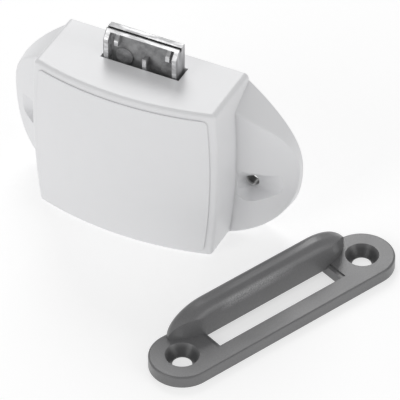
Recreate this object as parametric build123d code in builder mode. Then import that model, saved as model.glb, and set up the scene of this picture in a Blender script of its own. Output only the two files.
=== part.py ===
from build123d import *
from math import cos, radians, sin, sqrt
import os

os.makedirs("parts", exist_ok=True)

# Frame: the origin is on the mounting plane, on the button's axis. The front looks towards -Y, the bolt
# comes out of the top, towards +Z, and the door is behind the case, towards +Y. Sizes are in millimetres.

# Lock case
backset = 25.0  # from the top of the case down to the button's axis
foot_drop = 12.1  # from the button's axis down to the foot of the case
case_width = 41.0  # between the upper front corners
foot_width = 39.8  # between the lower front corners
side_bow = 1.0  # how far the sides swell at half height
case_depth = 15.8  # from the mounting plane to the front corners
front_crown = 3.1  # how far the middle of the front stands before its sides
front_rise = 0.3  # how far it stands before its top and foot
wall = 1.8
corner_radius = 1.1
edge_radius = 0.8
panel_border = 1.5
panel_step = 0.3
panel_edge = 0.15

# Ears with the screw holes
ear_reach = 33.1  # from the button's axis to the tip
ear_tip_height = 4.8
ear_brow = 1.4  # from the top of the case down to the ear
ear_shoulder = (29.4, 15.0)
ear_heel = (27.0, -9.2)
ear_thickness = 7.0  # at the case
ear_slope = 3.1  # from the ear's top at the back down to the crease in front of it
ear_crease = (24.8, 17.3)
ear_lean = 0.8  # how far the rim leans in from back to front
ear_rim = 1.2  # at the tip
ear_dome = 1.0  # swell of the ear between the case and the tip
ear_edge = 0.7  # rounding along the rim
screw_spacing = 46.0
screw_radius = 1.5
scoop_floor = 2.6  # from the mounting plane to the rim of the screw hole
scoop_mouth = 6.8  # from the mounting plane to the plane that the funnel is drawn on
scoop_start = 20.8  # from the middle of the case to the funnel's wall beside the case
scoop_length = 39.0  # of the funnel, which runs out along the ear
scoop_height = 8.4
scoop_level = 0.4  # from the screw hole up to the middle of the mouth, beside the case
scoop_turn = 14.0  # how far the mouth rises outwards, in degrees
scoop_floor_length = 3.2
scoop_floor_height = 3.2
scoop_floor_round = 1.4
scoop_round = 3.6

# Bolt
bolt_width = 16.6
bolt_thickness = 3.75
bolt_back = 4.25  # from the mounting plane to the back of the bolt
bolt_throw = 6.4  # how far the bolt stands out when locked
bolt_gap = 0.3  # before and behind the bolt in the case's slot
bolt_end_gap = 0.6  # at its ends
bolt_frame = 1.1  # walls beside the cored front
bolt_bar = 0.65  # bar above it
bolt_core = 1.7  # depth of the coring
bolt_core_foot = 2.6  # how far the coring runs down into the case
bolt_bevel = 1.7  # the bevel along the front of the top, measured backwards
bolt_bevel_drop = 1.9
bolt_step = 0.1  # how far the top is lower behind the groove
groove_width = 0.55
groove_depth = 0.7
rib_width = 0.9
rib_length = 2.2
rib_spacing = 11.6
rib_shift = 0.35  # of the hanging ribs, to the right
rib_set_back = 0.1
pin_mark_radius = 1.95
pin_mark_height = 0.35
pin_mark_spacing = 10.3
pin_mark_shift = 0.9  # of the marks and the rib between them, to the right
pin_mark_level = 0.5  # above the case
cheek_thickness = 2.2
cheek_front = 3.0  # from the middle of the pins to the front edge of the cheeks
cheek_back = 2.5
cheek_drop = 3.4  # how far the cheeks reach below the button's axis
cheek_clearance = 0.3
cheek_round = 1.0

# Push plunger
plunger_size = 12.0
plunger_corner = 1.2
plunger_stub = 1.0  # how far the locked plunger stands out of the mounting plane
plunger_travel = 6.7  # out of the locked place
over_press = 0.8  # past the locked place, to let go of the latch
plunger_gap = 0.1
spring_bore_radius = 3.5
spring_bore_end = 6.5
socket_radius = 3.25
socket_depth = 5.5
ring_groove_radius = 4.2
ring_groove_width = 1.0
ring_groove_place = 2.4  # from the plunger's end to the middle of the groove

# Pins that drive the bolt
cam_pin_radius = 1.1
cam_pin_place = 2.8  # from the plunger's front
cam_pin_seat = 2.3  # how deep each pin sits in the plunger
cam_pin_gap = 0.08  # in the slot
cam_pin_edge = 0.2
press_gap = 0.02

# Push-push track
track_depth = 1.4
track_tip = 5.2  # from the mounting plane to the wire's tip, locked
track_half_width = 2.6
track_lane = 0.7  # half the width of the straight lane
track_round = 0.4
heart_half_width = 1.3
heart_notch = 0.9  # from the wire's tip to the bottom of the notch
wire_radius = 0.45
wire_bend = 0.9
wire_level = 1.2  # from the plunger's underside down to the middle of the wire
wire_anchor = 14.2
wire_anchor_depth = 2.0
anchor_width = 4.0
anchor_depth = 3.6

# Springs and rings
spring_wire = 0.3  # radius
spring_radius = 2.9  # to the middle of the wire
spring_turns = 6
spring_seat_gap = 0.15  # at the front wall, which curves away from it
spring_post_radius = 1.8
spring_post_end = 8.0
ring_wire = 0.4  # radius
ring_gap = 50.0  # open angle

# Base plate
base_thickness = 2.0
base_gap = 0.1
collar_radius = 10.0
collar_height = 2.5
post_radius = 2.5
post_inset_x = 5.0
post_inset_z = 4.8
base_screw_radius = 0.9
base_screw_head = 1.8
base_screw_length = 7.0
base_screw_gap = 0.05
rail_thickness = 1.3  # rails beside the bolt and the plunger
rail_gap = 0.3

# Strike plate
strike_spacing = 47.3  # between its screw holes
strike_width = 13.6
strike_thickness = 2.6
strike_edge = 0.4
strike_hole_radius = 2.0
strike_sink_radius = 3.5
strike_sink_angle = 66.0
strike_slot_length = 31.8
strike_slot_near = 2.74  # from the line of holes to the near edge of the slot
strike_slot_far = 1.97
strike_slot_skin = 0.9  # left above the slot where it runs on under the ridge
strike_slot_wall = 1.1  # left behind it
strike_ledge = 0.9  # step at each end of the slot
strike_ledge_depth = 0.35
ridge_length = 46.3
ridge_height = 6.2
ridge_end_length = 9.4  # of the slope at each end
ridge_tail = 1.6  # thickness left at each end, where it draws back from the screws
ridge_round = 1.9  # along its top
strike_x = 38.8
strike_y = -25.3
strike_turn = 65.9

case_top = backset
case_foot = -foot_drop
case_height = backset + foot_drop
case_middle = (case_top + case_foot) / 2
crown_radius = ((case_width / 2) ** 2 + front_crown**2) / (2 * front_crown)
bolt_front = bolt_back + bolt_thickness
bolt_tip = case_top + bolt_throw
plunger_half = plunger_size / 2
cheek_inner = plunger_half + cheek_clearance
cheek_outer = cheek_inner + cheek_thickness
fork_crotch = plunger_half + bolt_gap + plunger_travel
cheek_top = case_top - wall - over_press - bolt_gap
post_upper = case_width / 2 - post_inset_x
post_lower = foot_width / 2 - post_inset_x
post_places = [
    (-post_upper, case_top - post_inset_z),
    (post_upper, case_top - post_inset_z),
    (-post_lower, case_foot + post_inset_z),
    (post_lower, case_foot + post_inset_z),
]
frontwards = (0, -1, 0)


def front_depth(x):
    """How far the front of the case stands from the mounting plane, x to the side of its middle."""
    return case_depth + front_crown - crown_radius + sqrt(crown_radius**2 - x**2)


def wall_middle(x):
    """Half way through the front wall, x to the side of its middle."""
    return front_depth(x) - front_rise - wall / 2


plunger_front = front_depth(plunger_half) - front_rise - panel_step - wall - over_press - rail_gap
pin_level = plunger_front - cam_pin_place


def case_outline(inset, corner):
    """Face of the case's front outline, drawn in by inset."""
    upper = case_width / 2 - inset
    lower = foot_width / 2 - inset
    swell = (upper + lower) / 2 + side_bow
    with BuildSketch(Plane.XZ) as outline:
        with BuildLine():
            top = Line((-upper, case_top - inset), (upper, case_top - inset))
            foot = Line((lower, case_foot + inset), (-lower, case_foot + inset))
            ThreePointArc(top @ 1, (swell, case_middle), foot @ 0)
            ThreePointArc(foot @ 1, (-swell, case_middle), top @ 0)
        make_face()
        fillet(outline.vertices(), corner)
    return outline.sketch


def crowned_block(inset, depth, corner, edge):
    """Block of the case's outline with a crowned front, depth deep at the corners."""
    crest = depth + front_crown
    axis_y = crown_radius - crest
    with BuildPart() as barrel:
        with BuildSketch(Plane.YZ):
            with BuildLine():
                lower = (4 * front_rise - crest, case_middle - case_height)
                upper = (4 * front_rise - crest, case_middle + case_height)
                ThreePointArc(lower, (-crest, case_middle), upper)
                Polyline(upper, (axis_y, upper[1]), (axis_y, lower[1]), lower)
            make_face()
        revolve(axis=Axis((0, axis_y, 0), (0, 0, 1)))
    with BuildPart() as block:
        extrude(case_outline(inset, corner), amount=crest, dir=frontwards)
        add(barrel.part, mode=Mode.INTERSECT)
        fillet(block.faces().sort_by(Axis.Y)[0].edges(), edge)
    return block.part


# Both ears: a rim that leans inwards from the mounting plane, and a front that falls to the tip
with BuildPart() as ears:
    for level, lean, drop, shoulder in (
        (0, 0, ear_brow, ear_shoulder),
        (ear_thickness, ear_lean, ear_brow + ear_slope, ear_crease),
    ):
        with BuildSketch(Plane.XZ.offset(level)):
            with BuildLine():
                root = (case_width / 2, case_top - drop)
                tip = (ear_reach - lean, ear_tip_height)
                brow = Spline(root, shoulder, tip, tangents=((0.8, -0.6), (0, -1)))
                jaw = Spline(
                    tip,
                    (ear_heel[0] - lean / 2, ear_heel[1] + lean / 2),
                    (foot_width / 2, case_foot),
                    tangents=((0, -1), (-0.95, -0.3)),
                )
                Polyline(jaw @ 1, (0, case_foot), (0, case_top - drop), root)
            make_face()
    loft(ruled=True)
    with BuildSketch(Plane.XY):
        with BuildLine():
            near = (case_width / 2, -ear_thickness)
            far = (ear_reach, -ear_rim)
            ThreePointArc(near, ((near[0] + far[0]) / 2, (near[1] + far[1]) / 2 - ear_dome), far)
            Polyline(far, (ear_reach, 0), (0, 0), (0, -ear_thickness), near)
        make_face()
    extrude(amount=case_height, both=True, mode=Mode.INTERSECT)
    front_edges = ears.faces().filter_by(GeomType.CYLINDER).edges()
    fillet(front_edges.filter_by(lambda e: e.center().X > case_width / 2 + ear_edge), ear_edge)
    mirror(about=Plane.YZ)

# Housing: crowned case with a raised panel on its front, open at the back, with an ear on each side
with BuildPart() as housing:
    add(crowned_block(0, case_depth - panel_step, corner_radius, edge_radius))
    add(crowned_block(panel_border, case_depth, corner_radius, panel_edge))
    add(ears.part)
    add(crowned_block(wall, case_depth - panel_step - wall, corner_radius, edge_radius), mode=Mode.SUBTRACT)
    with BuildSketch(Plane.XZ.offset(base_thickness)):
        with Locations(*post_places):
            Circle(post_radius)
    extrude(amount=wall_middle(post_upper) - base_thickness)
    with BuildSketch(Plane.XZ.offset(base_thickness)):
        with Locations(*post_places):
            Circle(base_screw_radius + base_screw_gap)
    extrude(amount=base_screw_length, mode=Mode.SUBTRACT)
    # Rails on both sides of the bolt's fork
    with BuildSketch(Plane.XZ.offset(cheek_back)):
        for side in (-1, 1):
            with Locations((side * (cheek_outer + rail_gap + rail_thickness / 2), case_middle)):
                Rectangle(rail_thickness, case_height - wall)
    extrude(amount=wall_middle(cheek_outer) - cheek_back)
    # Rails above and below the plunger, parted below for the track wire
    with BuildSketch(Plane.XZ.offset(bolt_front + bolt_gap)):
        rail_z = plunger_half + rail_gap + rail_thickness / 2
        with Locations((0, rail_z)):
            Rectangle(plunger_size - 2 * plunger_corner, rail_thickness)
        rail_length = plunger_half - plunger_corner - track_half_width
        for side in (-1, 1):
            with Locations((side * (plunger_half - plunger_corner - rail_length / 2), -rail_z)):
                Rectangle(rail_length, rail_thickness)
    extrude(amount=wall_middle(plunger_half) - bolt_front - bolt_gap)
    # Post inside the plunger's spring
    with BuildSketch(Plane.XZ.offset(spring_post_end)):
        Circle(spring_post_radius)
    extrude(amount=wall_middle(0) - spring_post_end)
    # Block that holds the foot of the track wire
    with BuildSketch(Plane.XY.offset(case_foot + wall / 2)):
        with Locations((0, -wire_anchor)):
            Rectangle(anchor_width, anchor_depth)
    anchor_top = -plunger_half - wire_level - wire_radius - rail_gap
    extrude(amount=anchor_top - case_foot - wall / 2)
    with BuildSketch(Plane.XY.offset(anchor_top)):
        with Locations((0, -wire_anchor)):
            Circle(wire_radius + press_gap)
    extrude(amount=-wire_anchor_depth, mode=Mode.SUBTRACT)
    # Slot for the bolt
    with BuildSketch(Plane.XY.offset(case_top)):
        with Locations((0, -(bolt_back + bolt_front) / 2)):
            Rectangle(bolt_width + 2 * bolt_end_gap, bolt_thickness + 2 * bolt_gap)
    extrude(amount=-2 * wall, mode=Mode.SUBTRACT)
    # Screw holes, each at the end of a trough that runs out over the ear
    with BuildSketch(Plane.XZ):
        with Locations((-screw_spacing / 2, 0), (screw_spacing / 2, 0)):
            Circle(screw_radius)
    extrude(amount=ear_thickness, mode=Mode.SUBTRACT)
    for side in (-1, 1):
        with BuildSketch(Plane.XZ.offset(scoop_floor)):
            with Locations((side * screw_spacing / 2, 0)):
                RectangleRounded(scoop_floor_length, scoop_floor_height, scoop_floor_round)
        with BuildSketch(Plane.XZ.offset(scoop_mouth)):
            mouth_x = scoop_start + scoop_length / 2 * cos(radians(scoop_turn))
            mouth_z = scoop_level + scoop_length / 2 * sin(radians(scoop_turn))
            with Locations((side * mouth_x, mouth_z)):
                RectangleRounded(scoop_length, scoop_height, scoop_round, rotation=side * scoop_turn)
        loft(ruled=True, mode=Mode.SUBTRACT)
housing.part.label = "housing"
export_step(housing.part, "parts/housing.step")

# Base plate: closes the back, guides the plunger and centres the lock in the door's bore
with BuildPart() as base_plate:
    extrude(case_outline(wall + base_gap, corner_radius), amount=base_thickness, dir=frontwards)
    with BuildSketch(Plane.XZ):
        Circle(collar_radius)
    extrude(amount=-collar_height)
    with BuildSketch(Plane.XZ.offset(base_thickness)):
        opening = plunger_size + 2 * plunger_gap
        RectangleRounded(opening, opening, plunger_corner + plunger_gap)
    extrude(amount=-(base_thickness + collar_height), mode=Mode.SUBTRACT)
    with BuildSketch(Plane.XZ.offset(base_thickness)):
        with Locations(*post_places):
            Circle(base_screw_radius + base_screw_gap)
    extrude(amount=-base_thickness, mode=Mode.SUBTRACT)
    screw_edges = base_plate.edges().filter_by(GeomType.CIRCLE).filter_by(
        lambda e: abs(e.radius - base_screw_radius - base_screw_gap) < press_gap
    )
    chamfer(screw_edges.filter_by(lambda e: abs(e.center().Y) < press_gap), base_screw_head - base_screw_radius)
base_plate.part.label = "base_plate"
export_step(base_plate.part, "parts/base_plate.step")

# Four countersunk screws from the back, into the posts of the housing
with BuildPart() as base_plate_screws:
    with BuildSketch(Plane.XY):
        with BuildLine():
            Polyline(
                (0, 0),
                (base_screw_head, 0),
                (base_screw_radius, -(base_screw_head - base_screw_radius)),
                (base_screw_radius, -base_screw_length),
                (0, -base_screw_length - base_screw_radius),
                (0, 0),
            )
        make_face()
    revolve(axis=Axis.Y)
screw = base_plate_screws.part
screw_set = Compound(children=[Pos(x, 0, z) * screw for x, z in post_places], label="base_plate_screws")
export_step(screw_set, "parts/base_plate_screws.step")

# Bolt: die-cast head with a cored, ribbed front, and a fork whose slanted slots the plunger's pins run in
groove_front = -bolt_front + bolt_bevel
groove_back = groove_front + groove_width
with BuildPart() as latch_bolt:
    with BuildSketch(Plane.YZ):
        with BuildLine():
            Polyline(
                (-bolt_front, fork_crotch),
                (-bolt_front, bolt_tip),
                (groove_front, bolt_tip),
                (groove_front, bolt_tip - groove_depth),
                (groove_back, bolt_tip - groove_depth),
                (groove_back, bolt_tip - bolt_step),
                (-bolt_back, bolt_tip - bolt_step),
                (-bolt_back, fork_crotch),
                close=True,
            )
        make_face()
    extrude(amount=bolt_width / 2, both=True)
    # Coring of the front, with the ribs and the marks of the ejector pins left standing in it
    core_foot = case_top - bolt_core_foot
    core_top = bolt_tip - bolt_bar
    with BuildSketch(Plane.XZ.offset(bolt_front)):
        with Locations((0, (core_foot + core_top) / 2)):
            Rectangle(bolt_width - 2 * bolt_frame, core_top - core_foot)
    extrude(amount=-bolt_core, mode=Mode.SUBTRACT)
    with BuildSketch(Plane.XZ.offset(bolt_front - bolt_core)):
        for side in (-1, 1):
            with Locations((rib_shift + side * rib_spacing / 2, core_top - rib_length / 2)):
                Rectangle(rib_width, rib_length)
        with Locations((pin_mark_shift, (core_foot + case_top + rib_length) / 2)):
            Rectangle(rib_width, case_top + rib_length - core_foot)
    extrude(amount=bolt_core - rib_set_back)
    with BuildSketch(Plane.XZ.offset(bolt_front - bolt_core)):
        for side in (-1, 1):
            with Locations((pin_mark_shift + side * pin_mark_spacing / 2, case_top + pin_mark_level)):
                Circle(pin_mark_radius)
    extrude(amount=pin_mark_height)
    # Bevel that lets the ridge of the strike plate ride over the bolt
    with BuildSketch(Plane.YZ):
        with BuildLine():
            Polyline(
                (-bolt_front, bolt_tip - bolt_bevel_drop),
                (-bolt_front, bolt_tip),
                (groove_front, bolt_tip),
                close=True,
            )
        make_face()
    extrude(amount=bolt_width, both=True, mode=Mode.SUBTRACT)
    # Cheeks of the fork, with slots that lean at 45 degrees
    with BuildSketch(Plane.YZ.offset(cheek_inner)):
        with BuildLine():
            Polyline(
                (-pin_level - cheek_front, -cheek_drop),
                (-cheek_back, -cheek_drop),
                (-cheek_back, cheek_top),
                (-pin_level - cheek_front, cheek_top),
                close=True,
            )
        make_face()
        fillet(vertices(), cheek_round)
        slot_travel = plunger_travel + over_press
        slot_middle = (plunger_travel - over_press) / 2
        with Locations((-pin_level + slot_middle, slot_middle)):
            SlotCenterToCenter(
                slot_travel * sqrt(2), 2 * (cam_pin_radius + cam_pin_gap), rotation=45, mode=Mode.SUBTRACT
            )
    cheek = extrude(amount=cheek_thickness)
    mirror(cheek, about=Plane.YZ)
latch_bolt.part.label = "latch_bolt"
export_step(latch_bolt.part, "parts/latch_bolt.step")

# Plunger: square slider with the knob's socket behind, the spring's bore in front and the track below
with BuildPart() as push_plunger:
    with BuildSketch(Plane.XZ.offset(-plunger_stub)):
        RectangleRounded(plunger_size, plunger_size, plunger_corner)
    extrude(amount=plunger_front + plunger_stub)
    with BuildSketch(Plane.XZ.offset(spring_bore_end)):
        Circle(spring_bore_radius)
    extrude(amount=plunger_front - spring_bore_end, mode=Mode.SUBTRACT)
    with BuildSketch(Plane.XZ.offset(-plunger_stub)):
        Circle(socket_radius)
    extrude(amount=socket_depth, mode=Mode.SUBTRACT)
    with BuildSketch(Plane.XZ.offset(-plunger_stub + ring_groove_place - ring_groove_width / 2)):
        Circle(ring_groove_radius)
    extrude(amount=ring_groove_width, mode=Mode.SUBTRACT)
    for side in (-1, 1):
        with BuildSketch(Plane.YZ.offset(side * plunger_half)):
            with Locations((-pin_level, 0)):
                Circle(cam_pin_radius + press_gap)
        extrude(amount=-side * cam_pin_seat, mode=Mode.SUBTRACT)
    # Track round a heart, in the underside
    with BuildSketch(Plane.XY.offset(-plunger_half)):
        head = -track_tip + over_press + track_lane
        neck = -track_tip - plunger_travel / 2
        tail = -track_tip - plunger_travel - track_lane
        with BuildLine():
            Polyline(
                (-track_half_width, head),
                (track_half_width, head),
                (track_half_width, neck),
                (track_lane, neck - track_half_width + track_lane),
                (track_lane, tail),
                (-track_lane, tail),
                (-track_lane, neck - track_half_width + track_lane),
                (-track_half_width, neck),
                close=True,
            )
        make_face()
        fillet(vertices(), track_round)
        with BuildLine():
            lobe = -track_tip - heart_notch / 4
            Polyline(
                (0, -track_tip - heart_notch),
                (heart_half_width / 2, lobe),
                (heart_half_width, lobe - heart_notch / 2),
                (heart_half_width, neck),
                (0, neck - heart_half_width),
                (-heart_half_width, neck),
                (-heart_half_width, lobe - heart_notch / 2),
                (-heart_half_width / 2, lobe),
                close=True,
            )
        make_face(mode=Mode.SUBTRACT)
    extrude(amount=track_depth, mode=Mode.SUBTRACT)
push_plunger.part.label = "push_plunger"
export_step(push_plunger.part, "parts/push_plunger.step")

# Steel pins in the plunger's sides
for side, name in ((-1, "cam_pin_left"), (1, "cam_pin_right")):
    pin_start = plunger_half - cam_pin_seat + press_gap
    with BuildPart() as cam_pin:
        with BuildSketch(Plane.YZ.offset(side * pin_start)):
            with Locations((-pin_level, 0)):
                Circle(cam_pin_radius)
        extrude(amount=side * (cheek_outer - pin_start))
        chamfer(cam_pin.edges().filter_by(GeomType.CIRCLE), cam_pin_edge)
    cam_pin.part.label = name
    export_step(cam_pin.part, f"parts/{name}.step")

# Spring that throws the plunger out, from the front wall to the end of its bore
spring_front = front_depth(0) - panel_step - wall - spring_wire - spring_seat_gap
spring_back = spring_bore_end + spring_wire + press_gap
with BuildPart() as plunger_spring:
    with BuildLine():
        coil = Helix(
            pitch=(spring_front - spring_back) / spring_turns,
            height=spring_front - spring_back,
            radius=spring_radius,
            center=(0, -spring_back, 0),
            direction=(0, -1, 0),
        )
    with BuildSketch(Plane(origin=coil @ 0, z_dir=coil % 0)):
        Circle(spring_wire)
    sweep()
plunger_spring.part.label = "plunger_spring"
export_step(plunger_spring.part, "parts/plunger_spring.step")

# Wire of the push-push latch: its foot stands in the housing, its bent tip runs in the track
wire_z = -plunger_half - wire_level
with BuildPart() as track_wire:
    with BuildLine() as wire_path:
        FilletPolyline(
            (0, -wire_anchor, anchor_top - wire_anchor_depth + press_gap),
            (0, -wire_anchor, wire_z),
            (0, -track_tip, wire_z),
            (0, -track_tip, -plunger_half + track_depth - rail_gap),
            radius=wire_bend,
        )
    with BuildSketch(Plane(origin=wire_path.line @ 0, z_dir=wire_path.line % 0)):
        Circle(wire_radius)
    sweep()
track_wire.part.label = "track_wire"
export_step(track_wire.part, "parts/track_wire.step")

# Split ring in the socket, which grips the knob's stem
ring_y = plunger_stub - ring_groove_place
with BuildPart() as knob_ring:
    with BuildSketch(Plane.XY):
        with Locations((socket_radius + ring_wire + press_gap, ring_y)):
            Circle(ring_wire)
    revolve(axis=Axis((0, 0, 0), (0, 1, 0)), revolution_arc=360 - ring_gap)
knob_ring.part.label = "knob_ring"
export_step(knob_ring.part, "parts/knob_ring.step")

# Strike plate: it lies beside the case, on the surface that the case stands on, its ridge towards the case
long_way = (cos(radians(strike_turn)), sin(radians(strike_turn)), 0)
lying = Plane(origin=(strike_x, strike_y, case_foot), x_dir=long_way, z_dir=(0, 0, 1))
lying_top = lying.offset(strike_thickness)
slot_side = Plane(
    origin=lying_top.from_local_coords((0, strike_slot_far, 0)), x_dir=long_way, z_dir=lying.y_dir * -1
)
with BuildPart() as ridge:
    with BuildSketch(slot_side):
        with BuildLine():
            half = ridge_length / 2
            crest = half - ridge_end_length
            below = -strike_thickness / 2
            Line((crest, ridge_height), (-crest, ridge_height))
            EllipticalCenterArc((crest, 0), ridge_end_length, ridge_height, start_angle=0, arc_size=90)
            EllipticalCenterArc((-crest, 0), ridge_end_length, ridge_height, start_angle=90, arc_size=90)
            Polyline((-half, 0), (-half, below), (half, below), (half, 0))
        make_face()
    extrude(amount=strike_slot_far - strike_width / 2)
    rims = ridge.faces().filter_by(slot_side).edges()
    fillet(rims.sort_by(Axis.Z)[2:], ridge_round)
    # Seen from above it is straight beside the slot and draws back round the heads of the screws
    with BuildSketch(lying):
        with BuildLine():
            bend = strike_slot_length / 2
            back_edge = strike_width / 2
            Line((-bend, strike_slot_far), (bend, strike_slot_far))
            TangentArc((bend, strike_slot_far), (half, back_edge - ridge_tail), tangent=(1, 0))
            TangentArc((-bend, strike_slot_far), (-half, back_edge - ridge_tail), tangent=(-1, 0))
            Polyline(
                (half, back_edge - ridge_tail),
                (half, back_edge),
                (-half, back_edge),
                (-half, back_edge - ridge_tail),
            )
        make_face()
    extrude(amount=strike_thickness + ridge_height, mode=Mode.INTERSECT)
with BuildPart() as strike_plate:
    with BuildSketch(lying):
        SlotCenterToCenter(strike_spacing, strike_width)
    extrude(amount=strike_thickness)
    fillet(strike_plate.faces().sort_by(Axis.Z)[-1].edges(), strike_edge)
    add(ridge.part)
    with BuildSketch(lying):
        with Locations((0, (strike_slot_far - strike_slot_near) / 2)):
            Rectangle(strike_slot_length, strike_slot_far + strike_slot_near)
    extrude(amount=strike_thickness + ridge_height, mode=Mode.SUBTRACT)
    # The slot runs on under the ridge, and a shallow step leads into each end of it
    with BuildSketch(lying):
        slot_end = strike_width / 2 - strike_slot_wall
        with Locations((0, slot_end / 2)):
            Rectangle(strike_slot_length, slot_end)
    extrude(amount=strike_thickness - strike_slot_skin, mode=Mode.SUBTRACT)
    with BuildSketch(lying_top):
        with Locations((0, (strike_slot_far - strike_slot_near) / 2)):
            Rectangle(strike_slot_length + 2 * strike_ledge, strike_slot_far + strike_slot_near)
    extrude(amount=-strike_ledge_depth, mode=Mode.SUBTRACT)
    with Locations(lying_top):
        with Locations((-strike_spacing / 2, 0), (strike_spacing / 2, 0)):
            CounterSinkHole(strike_hole_radius, strike_sink_radius, counter_sink_angle=strike_sink_angle)
strike_plate.part.label = "strike_plate"
export_step(strike_plate.part, "parts/strike_plate.step")
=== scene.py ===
import math

import bpy
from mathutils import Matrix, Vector


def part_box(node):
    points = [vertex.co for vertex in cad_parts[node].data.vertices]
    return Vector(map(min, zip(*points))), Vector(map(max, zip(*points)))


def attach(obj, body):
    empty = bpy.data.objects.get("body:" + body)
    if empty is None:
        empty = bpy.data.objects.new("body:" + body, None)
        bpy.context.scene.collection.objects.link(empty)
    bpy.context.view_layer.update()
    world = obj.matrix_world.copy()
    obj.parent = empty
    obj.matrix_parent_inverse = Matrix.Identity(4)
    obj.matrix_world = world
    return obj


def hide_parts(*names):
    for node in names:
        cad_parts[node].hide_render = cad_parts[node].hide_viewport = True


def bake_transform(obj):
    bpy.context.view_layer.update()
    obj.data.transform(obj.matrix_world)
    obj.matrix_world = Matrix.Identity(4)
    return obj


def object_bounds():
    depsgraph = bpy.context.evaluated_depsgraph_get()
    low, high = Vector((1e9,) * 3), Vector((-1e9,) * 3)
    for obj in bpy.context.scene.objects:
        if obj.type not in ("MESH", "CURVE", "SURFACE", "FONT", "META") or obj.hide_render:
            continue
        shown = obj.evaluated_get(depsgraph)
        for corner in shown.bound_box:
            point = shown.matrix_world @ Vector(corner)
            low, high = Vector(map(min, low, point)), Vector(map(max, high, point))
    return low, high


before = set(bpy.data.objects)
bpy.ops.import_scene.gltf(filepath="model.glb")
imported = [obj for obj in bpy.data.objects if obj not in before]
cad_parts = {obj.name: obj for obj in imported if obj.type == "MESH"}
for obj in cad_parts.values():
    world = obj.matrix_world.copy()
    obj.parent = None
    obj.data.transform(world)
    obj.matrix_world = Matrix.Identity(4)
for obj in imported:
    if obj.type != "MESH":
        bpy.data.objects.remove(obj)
cad_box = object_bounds()


# Case: a crowned box with two screw ears, moulded in one piece from white ABS with a fine satin skin,
# with painted shade in its creases and in its screw holes. The plate that closes its back is of the same
# plastic.
class Field:
    """A shader socket that takes part in sums, so that a material reads like a formula."""

    def __init__(self, tree, socket):
        self.tree = tree
        self.socket = socket

    def node(self, kind, settings=None, output=0, **inputs):
        """Any node, with its settings and its sockets' values or links, by name or as i and a number."""
        made = self.tree.nodes.new(kind)
        for name, value in (settings or {}).items():
            setattr(made, name, value)
        for name, value in inputs.items():
            slot = made.inputs[int(name[1:]) if name[1:].isdigit() else name]
            if isinstance(value, Field):
                self.tree.links.new(value.socket, slot)
            else:
                slot.default_value = value
        return Field(self.tree, made.outputs[output])

    def reckon(self, operation, first, second):
        return self.node("ShaderNodeMath", {"operation": operation}, i0=first, i1=second)

    def __add__(self, other):
        return self.reckon("ADD", self, other)

    __radd__ = __add__

    def __sub__(self, other):
        return self.reckon("SUBTRACT", self, other)

    def __rsub__(self, other):
        return self.reckon("SUBTRACT", other, self)

    def __mul__(self, other):
        return self.reckon("MULTIPLY", self, other)

    __rmul__ = __mul__

    def __abs__(self):
        return self.reckon("ABSOLUTE", self, 0.0)

    def ramp(self, low, high, to_low=0.0, to_high=1.0):
        """The value carried from one range to another and held at its ends."""
        return self.node("ShaderNodeMapRange", i0=self, i1=low, i2=high, i3=to_low, i4=to_high)

    def mix(self, first, second):
        """A colour between two others, as far along as the value says."""
        return self.node("ShaderNodeMix", {"data_type": "RGBA"}, 2, i0=self, i6=first, i7=second)

    def noise(self, scale, detail=3.0, roughness=0.55):
        return self.node("ShaderNodeTexNoise", Vector=self, Scale=scale, Detail=detail, Roughness=roughness)

    def drawn_out(self, factors):
        """Coordinates stretched by a factor along each axis, for a pattern with a grain."""
        return self.node("ShaderNodeVectorMath", {"operation": "DIVIDE"}, i0=self, i1=factors)

    def axis(self, number):
        return self.node("ShaderNodeSeparateXYZ", None, number, i0=self)

    def bump(self, strength, distance, over=None):
        """The value as a relief, laid over another normal where one is given."""
        under = {"Normal": over} if over else {}
        return self.node("ShaderNodeBump", Height=self, Strength=strength, Distance=distance, **under)

    def into(self, shader, name):
        self.tree.links.new(self.socket, shader.inputs[name])


def grey_tone(value, blue=0.0):
    """A grey, with a little more blue in it where that is asked for."""
    return (value, value, value + blue, 1.0)


def material(name):
    """A new material, its shader and the object coordinates that its pattern is built on."""
    made = bpy.data.materials.new(name)
    made.use_nodes = True
    tree = made.node_tree
    place = Field(tree, tree.nodes.new("ShaderNodeTexCoord").outputs["Object"])
    return made, tree.nodes["Principled BSDF"], place


def round_a_hole(first, second, full, edge):
    """1 up to one radius from a hole's axis and 0 past a wider one, from two distances at right angles."""
    return (first * first + second * second).ramp(edge**2, full**2)


def dress(node, made):
    """Give a node of the CAD model a material."""
    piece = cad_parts[node]
    piece.data.materials.clear()
    piece.data.materials.append(made)


screw_place = 0.023
screw_hole = 0.0015
hole_mouth = -0.0026
hole_dark = -0.0017
crease_reach = 0.0014
white, shader, place = material("white_moulding")
flow = place.noise(scale=260.0, detail=2.0)
skin = flow.ramp(0.2, 0.8).mix((0.818, 0.82, 0.832, 1), (0.828, 0.83, 0.842, 1))
nearby = {"samples": 12, "only_local": True}
# Painted shade: ambient occlusion paints the creases greyer.
openness = place.node("ShaderNodeAmbientOcclusion", nearby, 1, Distance=crease_reach)
skin = openness.ramp(0.4, 0.95).mix(grey_tone(0.64, blue=0.01), skin)
# Painted shade: the walls of the screw holes are painted near black.
aside = abs(place.axis(0)) - screw_place
bore_shade = round_a_hole(aside, place.axis(2), full=screw_hole * 1.005, edge=screw_hole * 1.02)
bore_shade = bore_shade * place.axis(1).ramp(hole_mouth, hole_dark)
bore_shade.mix(skin, grey_tone(0.05)).into(shader, "Base Color")
flow.ramp(0.2, 0.8, 0.285, 0.335).into(shader, "Roughness")
place.noise(scale=1500.0, detail=2.0).bump(strength=0.08, distance=0.0002).into(shader, "Normal")
dress("housing", white)
dress("base_plate", white)
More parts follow.
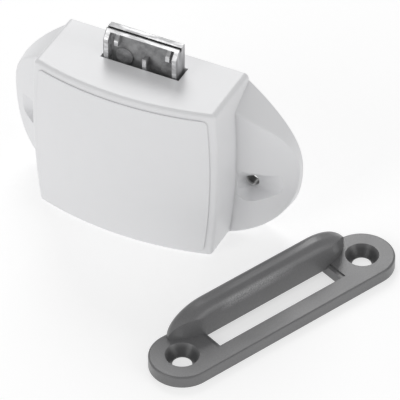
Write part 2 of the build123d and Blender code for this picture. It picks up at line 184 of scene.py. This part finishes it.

# Bolt: a zinc die casting, tumbled, so that its outer edges are soft while the cored front keeps the dark,
# cloudy skin of the die. Its tones are painted as light and shade: lighter on the front, darker on the ends
# and the top, and painted shade in the groove behind the bevel. Its fork runs down into the case.
core_half_width = 0.0072
core_front = -0.0079
core_floor = -0.0063
core_top = 0.03075
groove_front = -0.0063
groove_back = -0.00575
groove_floor = 0.0307
groove_shade_spread = 0.00012
tip_level = 0.0314
end_edge = 0.0081
end_face = 0.0082
edge_rounding = 0.00018
fade = 0.0001
zinc, shader, place = material("zinc_casting")
x = place.axis(0)
y = place.axis(1)
z = place.axis(2)
inside = (x * x).ramp(core_half_width**2, (core_half_width * 0.985) ** 2)
inside = inside * y.ramp(core_front, core_front + 3 * fade) * y.ramp(core_floor + 2 * fade, core_floor + fade)
inside = inside * z.ramp(core_top + fade, core_top - fade)
# Painted shade: the groove behind the bevel and a thin strip either side of it are painted near black.
groove = y.ramp(groove_front - groove_shade_spread, groove_front) * y.ramp(groove_back + groove_shade_spread, groove_back)
groove = groove * z.ramp(groove_floor - 2 * fade, groove_floor - fade)
ends = (x * x).ramp(end_edge**2, end_face**2)
tip = z.ramp(tip_level - 2 * fade, tip_level - fade)
lengthwise = place.drawn_out((5.0, 1.0, 1.0)).noise(scale=1100.0, detail=4.0)
upright = place.drawn_out((1.0, 1.0, 6.0)).noise(scale=1100.0, detail=4.0)
grain = lengthwise + ends * (upright - lengthwise)
# Lit and shaded tones of the same zinc: the front is painted lighter, the end faces and the top darker, as
# shade.
lit_front = grain.ramp(0.4, 0.6).mix(grey_tone(0.6, blue=0.005), grey_tone(0.97, blue=0.01))
shaded_ends = grain.ramp(0.36, 0.64).mix(grey_tone(0.36, blue=0.005), grey_tone(0.62, blue=0.01))
shaded_top = grain.ramp(0.4, 0.6).mix(grey_tone(0.24, blue=0.003), grey_tone(0.48, blue=0.005))
skin = (ends - ends * tip).mix(tip.mix(lit_front, shaded_top), shaded_ends)
groove_shaded = groove.mix(skin, grey_tone(0.13, blue=0.003))
cloud = place.noise(scale=420.0, detail=5.0, roughness=0.65)
tarnish = cloud.ramp(0.36, 0.66).mix(grey_tone(0.23, blue=0.005), grey_tone(0.45, blue=0.005))
inside.mix(groove_shaded, tarnish).into(shader, "Base Color")
(cloud.ramp(0.3, 0.7, 0.38, 0.52) + inside * 0.12).into(shader, "Roughness")
(1 - inside * 0.6).into(shader, "Metallic")
edges = place.node("ShaderNodeBevel", {"samples": 6}, Radius=edge_rounding)
place.noise(scale=900.0, detail=3.0).bump(strength=0.14, distance=0.0003, over=edges).into(shader, "Normal")
dress("latch_bolt", zinc)

# Strike plate: grey moulded plastic with a satin skin, with painted shade in its countersinks and a painted
# sheen along the front of its ridge. It is ordered with the lock and screwed to the cabinet, and here it lies
# beside the case.
strike_low, strike_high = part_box("strike_plate")
strike_middle = Vector((0.0388, -0.0253))
strike_turn = math.radians(65.9)
plate_thickness = 0.0026
sink_place = 0.02365
sink_radius = 0.0035
sink_rim = 0.00005
sink_dark = 0.0009
# Each of these five runs from where the ridge has no painted sheen to where the painted sheen is strongest.
sheen_start = (-0.0125, -0.0095)
sheen_end = (0.008, 0.0)
sheen_back = (0.0044, 0.0036)
sheen_foot = (0.0032, 0.0021)
sheen_crest = (0.0004, 0.0012)
grey, shader, place = material("grey_moulding")
shader.inputs["Specular IOR Level"].default_value = 0.65
x = place.axis(0) - strike_middle.x
y = place.axis(1) - strike_middle.y
along = x * math.cos(strike_turn) + y * math.sin(strike_turn)
across = y * math.cos(strike_turn) - x * math.sin(strike_turn)
below_crest = strike_high.z - place.axis(2)
below_plate = strike_low.z + plate_thickness - place.axis(2)
flow = place.noise(scale=90.0)
skin = flow.ramp(0.35, 0.65).mix(grey_tone(0.14, blue=0.003), grey_tone(0.154, blue=0.003))
# Painted sheen: a lighter, speckled streak along the front of the ridge stands in for a highlight.
painted_sheen = along.ramp(*sheen_start) * along.ramp(*sheen_end) * across.ramp(*sheen_back)
painted_sheen = painted_sheen * below_crest.ramp(*sheen_foot) * below_crest.ramp(*sheen_crest)
spark = place.noise(scale=4200.0, detail=2.0).ramp(0.36, 0.64)
skin = (spark * 0.08 + painted_sheen * (0.16 + spark * 0.5)).mix(skin, grey_tone(0.4, blue=0.005))
# Painted shade: the countersinks are painted near black below the plate's top.
sink_shade = round_a_hole(abs(along) - sink_place, across, full=sink_radius, edge=sink_radius * 1.02)
sink_shade = sink_shade * below_plate.ramp(sink_rim, sink_dark)
sink_shade.mix(skin, grey_tone(0.07, blue=0.002)).into(shader, "Base Color")
flow.ramp(0.3, 0.7, 0.3, 0.38).into(shader, "Roughness")
place.noise(scale=1700.0, detail=2.0).bump(strength=0.12, distance=0.0002).into(shader, "Normal")
dress("strike_plate", grey)

# Plunger: black acetal slider that shows in the opening of the plate behind.
# It is moulded with the knob's socket and the track of the latch in it.
black, shader, place = material("black_moulding")
slip = place.noise(scale=300.0)
skin = slip.ramp(0.35, 0.65).mix(grey_tone(0.018, blue=0.001), grey_tone(0.026, blue=0.001))
skin.into(shader, "Base Color")
slip.ramp(0.3, 0.7, 0.34, 0.46).into(shader, "Roughness")
place.noise(scale=1500.0, detail=2.0).bump(strength=0.08, distance=0.0002).into(shader, "Normal")
dress("push_plunger", black)

# Screws of the back plate: four countersunk self-tappers, cold headed with a cross recess and zinc plated.
# They go in from behind, flush with the plate, and bite into the posts of the case.
screw_low, screw_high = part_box("base_plate_screws")
head_radius = 0.0018
shank_radius = 0.0009
shank_length = 0.006
head_depth = head_radius - shank_radius
point_share = 0.2
recess_length = 0.0023
recess_width = 0.0006
recess_depth = 0.0009
recess_taper = 0.5
lower_row = 0.0149
smooth_limit = math.radians(35)
steel, shader, place = material("plated_steel")
shader.inputs["Metallic"].default_value = 1.0
wear = place.noise(scale=400.0)
skin = wear.ramp(0.35, 0.65).mix(grey_tone(0.62, blue=0.01), grey_tone(0.74, blue=0.01))
skin.into(shader, "Base Color")
wear.ramp(0.3, 0.7, 0.28, 0.38).into(shader, "Roughness")


def choose_bottom(mesh):
    """Select the faces that look down and nothing else, and stay in edit mode."""
    bpy.ops.object.mode_set(mode="EDIT")
    bpy.ops.mesh.select_mode(type="FACE")
    bpy.ops.mesh.select_all(action="DESELECT")
    bpy.ops.object.mode_set(mode="OBJECT")
    for face in mesh.polygons:
        face.select = face.normal.z < -0.9
    bpy.ops.object.mode_set(mode="EDIT")


bpy.ops.object.select_all(action="DESELECT")
bpy.ops.mesh.primitive_cone_add(
    vertices=48, radius1=shank_radius, radius2=head_radius, depth=head_depth, location=(0, 0, -head_depth / 2)
)
screw = bpy.context.object
choose_bottom(screw.data)
bpy.ops.mesh.extrude_region_move(TRANSFORM_OT_translate={"value": (0, 0, -shank_length)})
bpy.ops.mesh.extrude_region_move(TRANSFORM_OT_translate={"value": (0, 0, -shank_radius)})
bpy.ops.transform.resize(value=(point_share, point_share, 1.0))
bpy.ops.object.mode_set(mode="OBJECT")
for turn in (0.0, math.pi / 2):
    bpy.ops.object.select_all(action="DESELECT")
    bpy.ops.mesh.primitive_cube_add(size=1.0, location=(0, 0, 0))
    blade = bpy.context.object
    blade.scale = (recess_length, recess_width, 2 * recess_depth)
    blade.rotation_euler.z = turn
    bpy.ops.object.transform_apply(location=True, rotation=True, scale=True)
    choose_bottom(blade.data)
    bpy.ops.transform.resize(value=(recess_taper, recess_taper, 1.0))
    bpy.ops.object.mode_set(mode="OBJECT")
    bpy.ops.object.select_all(action="DESELECT")
    bpy.context.view_layer.objects.active = screw
    cut = screw.modifiers.new("recess", "BOOLEAN")
    cut.operation = "DIFFERENCE"
    cut.object = blade
    bpy.ops.object.modifier_apply(modifier=cut.name)
    bpy.data.objects.remove(blade)
screw.rotation_euler.x = -math.pi / 2
copies = []
for screw_x, screw_z in (
    (screw_low.x + head_radius, screw_high.z - head_radius),
    (screw_high.x - head_radius, screw_high.z - head_radius),
    (-lower_row, screw_low.z + head_radius),
    (lower_row, screw_low.z + head_radius),
):
    bpy.ops.object.select_all(action="DESELECT")
    screw.select_set(True)
    bpy.context.view_layer.objects.active = screw
    bpy.ops.object.duplicate()
    bpy.context.object.location = (screw_x, screw_high.y, screw_z)
    copies.append(bpy.context.object)
bpy.ops.object.select_all(action="DESELECT")
bpy.data.objects.remove(screw)
for copy in copies:
    copy.select_set(True)
back_screws = copies[0]
bpy.context.view_layer.objects.active = back_screws
bpy.ops.object.transform_apply(location=True, rotation=True, scale=True)
bpy.ops.object.join()
bpy.ops.object.shade_smooth_by_angle(angle=smooth_limit)
back_screws.name = "back_screws"
back_screws.data.materials.clear()
back_screws.data.materials.append(steel)
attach(back_screws, "case")
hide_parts("base_plate_screws")

# Inner steel: the pins that drive the bolt, the wire of the latch and the ring that grips the knob.
# All are bought parts of plated steel, put in by hand.
for node in ("cam_pin_left", "cam_pin_right", "track_wire", "knob_ring"):
    dress(node, steel)

# Spring of the plunger: plated steel wire, coiled cold, over a post of the case's front wall.
# Its other end stands in the plunger's bore, so it is squeezed and let out as the plunger moves.
coil_low, coil_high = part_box("plunger_spring")
wire_radius = 0.0003
wire_sides = 14
coil_turns = 6
coil_steps = 36
coil_radius = coil_high.z - wire_radius
coil_front = coil_low.y + wire_radius
coil_back = coil_high.y - wire_radius
bpy.ops.object.select_all(action="DESELECT")
bpy.ops.mesh.primitive_circle_add(
    vertices=wire_sides,
    radius=wire_radius,
    location=(0, coil_front, -coil_radius),
    rotation=(0, math.pi / 2, 0),
)
spring = bpy.context.object
spring.name = "plunger_coil"
bpy.ops.object.transform_apply(location=True, rotation=True, scale=True)
winding = spring.modifiers.new("winding", "SCREW")
winding.axis = "Y"
winding.iterations = coil_turns
winding.steps = coil_steps
winding.render_steps = coil_steps
winding.screw_offset = (coil_back - coil_front) / coil_turns
bpy.ops.object.modifier_apply(modifier=winding.name)
bpy.ops.object.mode_set(mode="EDIT")
bpy.ops.mesh.select_all(action="SELECT")
bpy.ops.mesh.remove_doubles(threshold=0.000001)
bpy.ops.mesh.fill_holes(sides=0)
bpy.ops.mesh.select_all(action="SELECT")
bpy.ops.mesh.normals_make_consistent(inside=False)
bpy.ops.object.mode_set(mode="OBJECT")
bpy.ops.object.shade_smooth_by_angle(angle=smooth_limit)
spring.data.materials.append(steel)
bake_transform(spring)
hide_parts("plunger_spring")

# Studio: a white paper floor that the case and the strike plate stand on, in a white tent. The key light is
# in front, a lamp behind lies on the upper faces as a sheen, and a weak one opens up the right side.
floor_level = cad_box[0][2]
floor_size = 6.0
bpy.ops.object.select_all(action="DESELECT")
bpy.ops.mesh.primitive_plane_add(size=floor_size, location=(0.0, 0.0, floor_level))
floor = bpy.context.object
floor.name = "floor"
paper, shader, place = material("white_paper")
shader.inputs["Base Color"].default_value = grey_tone(0.55)
shader.inputs["Roughness"].default_value = 0.9
shader.inputs["Specular IOR Level"].default_value = 0.1
shader.inputs["Emission Color"].default_value = grey_tone(1.0)
shader.inputs["Emission Strength"].default_value = 0.57
floor.data.materials.append(paper)


def lamp(name, spot, size, power):
    """A round soft light that looks at the origin."""
    data = bpy.data.lights.new(name, "AREA")
    data.shape = "DISK"
    data.size = size
    data.energy = power
    made = bpy.data.objects.new(name, data)
    made.location = spot
    made.rotation_euler = (-Vector(spot)).to_track_quat("-Z", "Y").to_euler()
    bpy.context.scene.collection.objects.link(made)


lamp("key", (-0.3, -0.7, 0.4), size=0.5, power=1.4)
lamp("back", (-0.4, 0.65, 0.66), size=0.5, power=3.1)
lamp("side", (0.68, -0.05, 0.2), size=0.4, power=0.65)
world = bpy.data.worlds.new("tent")
world.use_nodes = True
tent = world.node_tree.nodes["Background"]
tent.inputs["Color"].default_value = grey_tone(1.0)
tent.inputs["Strength"].default_value = 0.45
bpy.context.scene.world = world
bpy.context.scene.view_settings.view_transform = "Standard"

# Camera: a long lens from the front right, well above, so that the far edges hardly draw together.
# Its place was fitted to the corners of the case in the photograph.
azimuth = math.radians(26.64)
elevation = math.radians(40.64)
distance = 0.8007
focal_pixels = 3834.8
picture_width = 400.0
target = Vector((0.00957, 0.0, -0.01263))
back = Vector(
    (
        math.sin(azimuth) * math.cos(elevation),
        -math.cos(azimuth) * math.cos(elevation),
        math.sin(elevation),
    )
)
data = bpy.data.cameras.new("camera")
data.sensor_width = 36.0
data.lens = focal_pixels / picture_width * data.sensor_width
data.clip_start = 0.05
camera = bpy.data.objects.new("camera", data)
camera.location = target + back * distance
camera.rotation_euler = back.to_track_quat("Z", "Y").to_euler()
bpy.context.scene.collection.objects.link(camera)
bpy.context.scene.camera = camera
